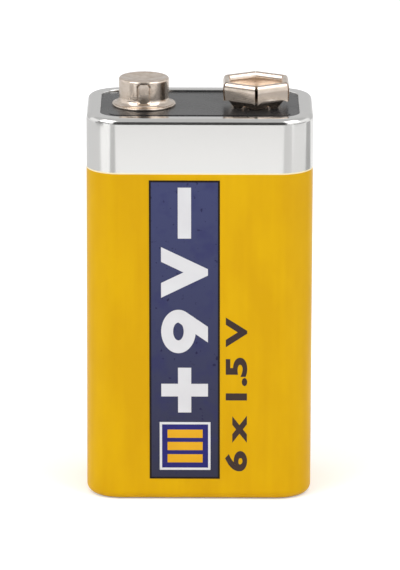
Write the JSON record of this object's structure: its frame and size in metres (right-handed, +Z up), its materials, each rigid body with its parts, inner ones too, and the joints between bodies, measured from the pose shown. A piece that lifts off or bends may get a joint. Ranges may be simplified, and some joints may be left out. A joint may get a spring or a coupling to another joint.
{
  "type": "nine volt block battery",
  "caption": "Upright rounded rectangular block battery with a crimped sheet metal jacket, a round snap stud and a hexagonal snap socket on its top.",
  "frame": {"origin": "centre of the base, on the surface the battery stands on", "axes": "+X along the width towards the negative socket, +Y along the depth towards the back, +Z up"},
  "size_m": [0.0256, 0.0166, 0.0476],
  "materials": {
    "printed_tinplate": "lacquered print over tinplate, bare bright band at the top",
    "board_plastic": "smooth moulded board, half gloss",
    "nickel_plate": "nickel plated pressed steel, bright",
    "rivet_metal": "nickel plated brass",
    "contact_strip": "tinned steel strip",
    "insulating_card": "plain board",
    "sleeve_film": "shrunk film",
    "envelope_film": "thin film",
    "zinc": "rolled zinc",
    "carbon_film": "conductive film",
    "separator_paper": "paste coated paper",
    "mix": "pressed powder"
  },
  "bodies": {
    "root": {"jacket": "printed_tinplate", "top_plate": "board_plastic", "bottom_plate": "board_plastic", "positive_stud": "nickel_plate", "positive_eyelet": "rivet_metal", "positive_tab": "contact_strip", "negative_socket": "nickel_plate", "negative_eyelet": "rivet_metal", "negative_strip": "contact_strip", "top_collector": "contact_strip", "top_card": "insulating_card", "bottom_card": "insulating_card", "stack_sleeve": "sleeve_film", "cell_1_carbon_film": "carbon_film", "cell_1_zinc_plate": "zinc", "cell_1_separator": "separator_paper", "cell_1_mix_cake": "mix", "cell_1_envelope": "envelope_film", "cell_2_carbon_film": "carbon_film", "cell_2_zinc_plate": "zinc", "cell_2_separator": "separator_paper", "cell_2_mix_cake": "mix", "cell_2_envelope": "envelope_film", "cell_3_carbon_film": "carbon_film", "cell_3_zinc_plate": "zinc", "cell_3_separator": "separator_paper", "cell_3_mix_cake": "mix", "cell_3_envelope": "envelope_film", "cell_4_carbon_film": "carbon_film", "cell_4_zinc_plate": "zinc", "cell_4_separator": "separator_paper", "cell_4_mix_cake": "mix", "cell_4_envelope": "envelope_film", "cell_5_carbon_film": "carbon_film", "cell_5_zinc_plate": "zinc", "cell_5_separator": "separator_paper", "cell_5_mix_cake": "mix", "cell_5_envelope": "envelope_film", "cell_6_carbon_film": "carbon_film", "cell_6_zinc_plate": "zinc", "cell_6_separator": "separator_paper", "cell_6_mix_cake": "mix", "cell_6_envelope": "envelope_film"}
  },
  "joints": []
}
